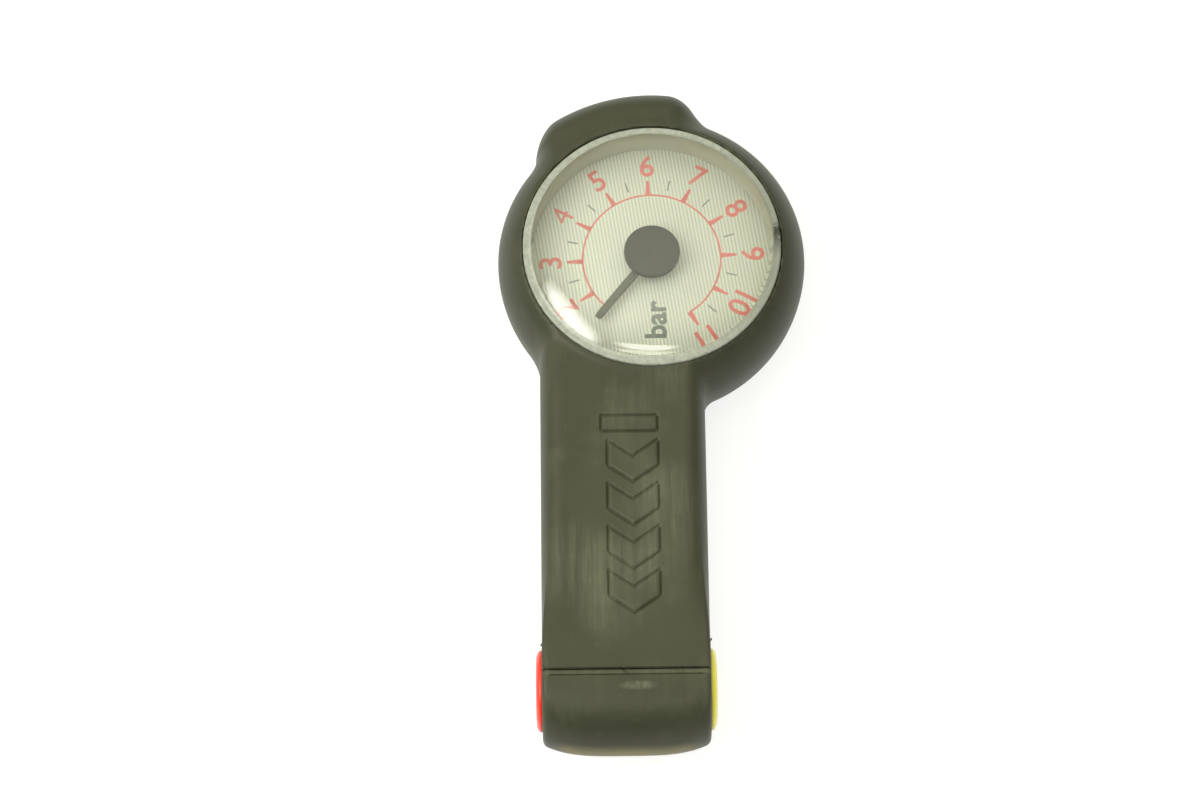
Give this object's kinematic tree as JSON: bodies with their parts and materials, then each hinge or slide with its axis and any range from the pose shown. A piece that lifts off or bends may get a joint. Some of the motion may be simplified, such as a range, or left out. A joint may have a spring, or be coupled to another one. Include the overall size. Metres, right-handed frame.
{
  "type": "tyre pressure gauge",
  "caption": "Handheld bicycle tyre pressure gauge: round needle dial under a clear dome, rubber-covered body, offset flat handle, and a crosswise end barrel with a red and a yellow valve port.",
  "frame": {"origin": "on the flat back, on the needle's axis", "axes": "+Y along the handle, from the port barrel towards the crown; +Z out of the dial; +X to the dial's right, towards the yellow port"},
  "size_m": [0.0472, 0.1065, 0.021],
  "materials": {
    "sleeve_rubber": "soft satin, slightly dusty",
    "case_plastic": "moulded matte",
    "clear_lens": "clear polished",
    "dial_card": "matte, fine weave",
    "ring_plastic": "matte",
    "needle_plastic": "satin",
    "port_red": "satin gloss",
    "port_yellow": "satin gloss",
    "seal_rubber": "matte",
    "brass": "turned",
    "steel": "plain",
    "aluminium": "drawn tube",
    "acetal": "satin"
  },
  "bodies": {
    "housing": {"rubber_sleeve": "sleeve_rubber", "end_boot": "sleeve_rubber", "case_rear": "case_plastic", "case_front": "case_plastic", "case_screw_1": "steel", "case_screw_2": "steel", "case_screw_3": "steel", "case_screw_4": "steel", "lens": "clear_lens", "dial_plate": "dial_card", "dial_ring": "ring_plastic", "movement_bridge": "steel", "bridge_screw_1": "steel", "bridge_screw_2": "steel", "rear_bush": "brass", "front_bush": "brass", "rack_guide": "acetal", "cylinder_tube": "aluminium", "cylinder_oring": "seal_rubber", "cylinder_gland": "brass", "piston_spring": "steel", "valve_block": "case_plastic", "schrader_pin": "brass", "schrader_grommet": "seal_rubber", "schrader_collar": "port_yellow", "presta_pin": "brass", "presta_grommet": "seal_rubber", "presta_collar": "port_red"},
    "piston_rod": {"piston": "acetal", "piston_seal": "seal_rubber", "rack_rod": "acetal"},
    "needle": {"pinion_shaft": "brass", "needle": "needle_plastic", "needle_cap": "needle_plastic"},
    "shuttle": {"shuttle_ball": "acetal"}
  },
  "joints": [
    {"name": "piston_slide", "type": "slide", "parent": "housing", "child": "piston_rod", "axis": [0, 1, 0], "range_m": [0, 0.0206], "stiffness_N_per_m": 1530, "springref_m": -0.0029, "deforming": ["piston_spring"]},
    {"name": "needle_turn", "type": "hinge", "parent": "housing", "child": "needle", "pos_m": [0, 0, 0.0138], "axis": [0, 0, 1], "range_deg": [-296, 0]},
    {"name": "shuttle_slide", "type": "slide", "parent": "housing", "child": "shuttle", "axis": [1, 0, 0], "range_m": [-0.0019, 0.0018]}
  ],
  "couplings": [
    {"joint": "needle_turn", "follows": "piston_slide", "rad_per_m": -250}
  ]
}
